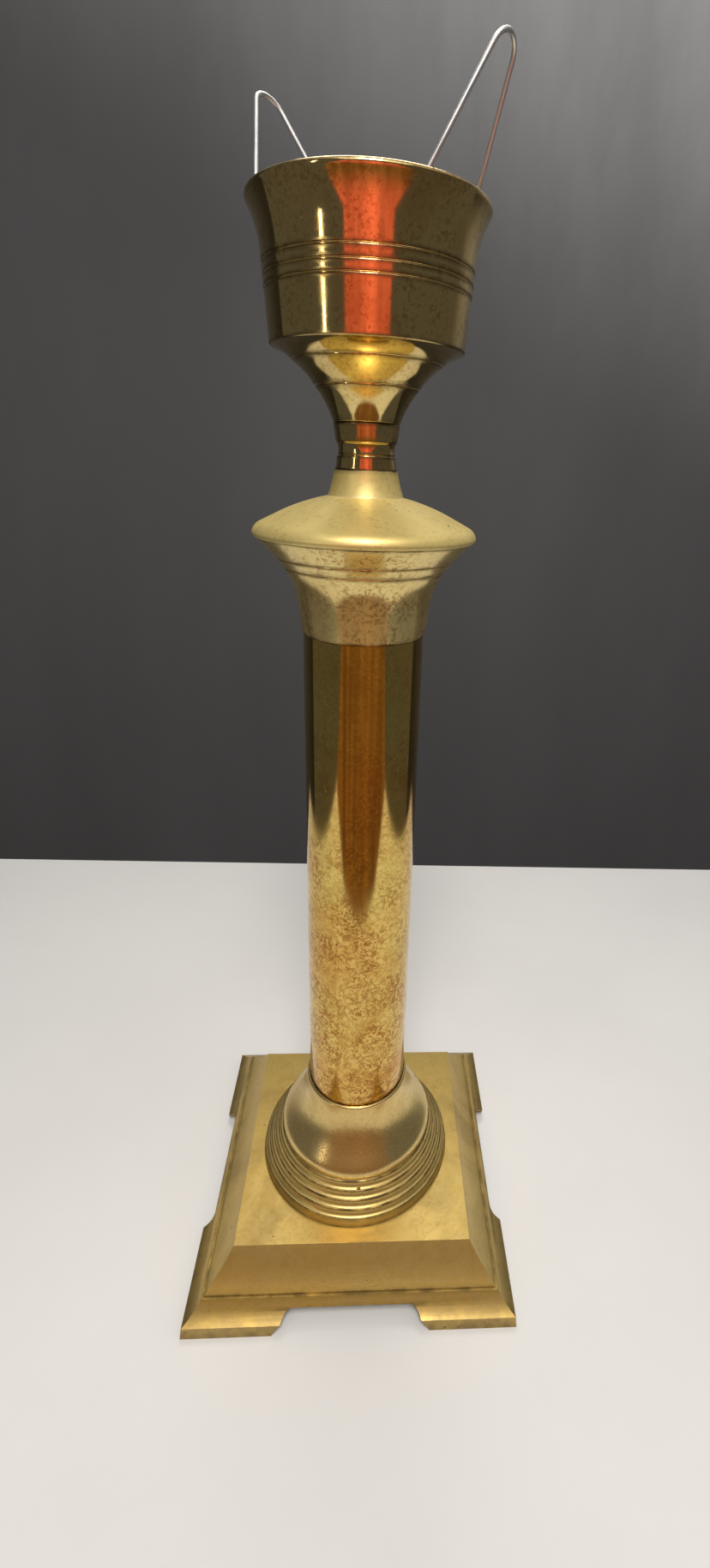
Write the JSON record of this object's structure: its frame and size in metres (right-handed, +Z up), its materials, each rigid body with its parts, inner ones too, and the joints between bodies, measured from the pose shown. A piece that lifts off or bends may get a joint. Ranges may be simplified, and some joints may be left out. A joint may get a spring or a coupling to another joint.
{
  "type": "altar candlestick",
  "caption": "Free-standing brass altar candlestick: square footed base, stepped ring, tube column, flared capital, domed disc and a cup with a lift-out candle liner on wire bails.",
  "frame": {"origin": "on the table under the middle of the square base", "axes": "+Z up along the column; +X and +Y square to the sides of the base, -Y towards the viewer"},
  "size_m": [0.1628, 0.1628, 0.5201],
  "materials": {
    "cast_brass": "satin, cast and brushed, lightly tarnished",
    "polished_brass": "polished, with tarnish mottling and fine scratches",
    "liner_brass": "spun sheet brass, dull inside",
    "steel_wire": "bright drawn wire",
    "plated_steel": "zinc-plated fasteners"
  },
  "bodies": {
    "stand": {"base_casting": "cast_brass", "stepped_ring": "cast_brass", "column_foot": "polished_brass", "column_tube": "polished_brass", "capital": "polished_brass", "domed_disc": "cast_brass", "neck_collar": "polished_brass", "candle_cup": "polished_brass", "tie_rod": "plated_steel", "base_washer": "plated_steel", "base_spring_washer": "plated_steel", "base_nut": "plated_steel", "cup_washer": "plated_steel", "cup_nut": "plated_steel"},
    "liner": {"liner": "liner_brass", "left_bail_lug": "liner_brass", "right_bail_lug": "liner_brass", "lug_rivets": "liner_brass"},
    "left_bail": {"left_bail": "steel_wire"},
    "right_bail": {"right_bail": "steel_wire"}
  },
  "joints": [
    {"name": "liner_lift", "type": "slide", "parent": "stand", "child": "liner", "axis": [0, 0, 1], "range_m": [0, 0.12]},
    {"name": "left_bail_swing", "type": "hinge", "parent": "liner", "child": "left_bail", "pos_m": [-0.02209, 0.01955, 0.4718], "axis": [0.6626, 0.749, 0], "range_deg": [0, 54]},
    {"name": "right_bail_swing", "type": "hinge", "parent": "liner", "child": "right_bail", "pos_m": [0.02387, -0.01734, 0.4718], "axis": [-0.5878, -0.809, 0], "range_deg": [-22, 54]}
  ]
}
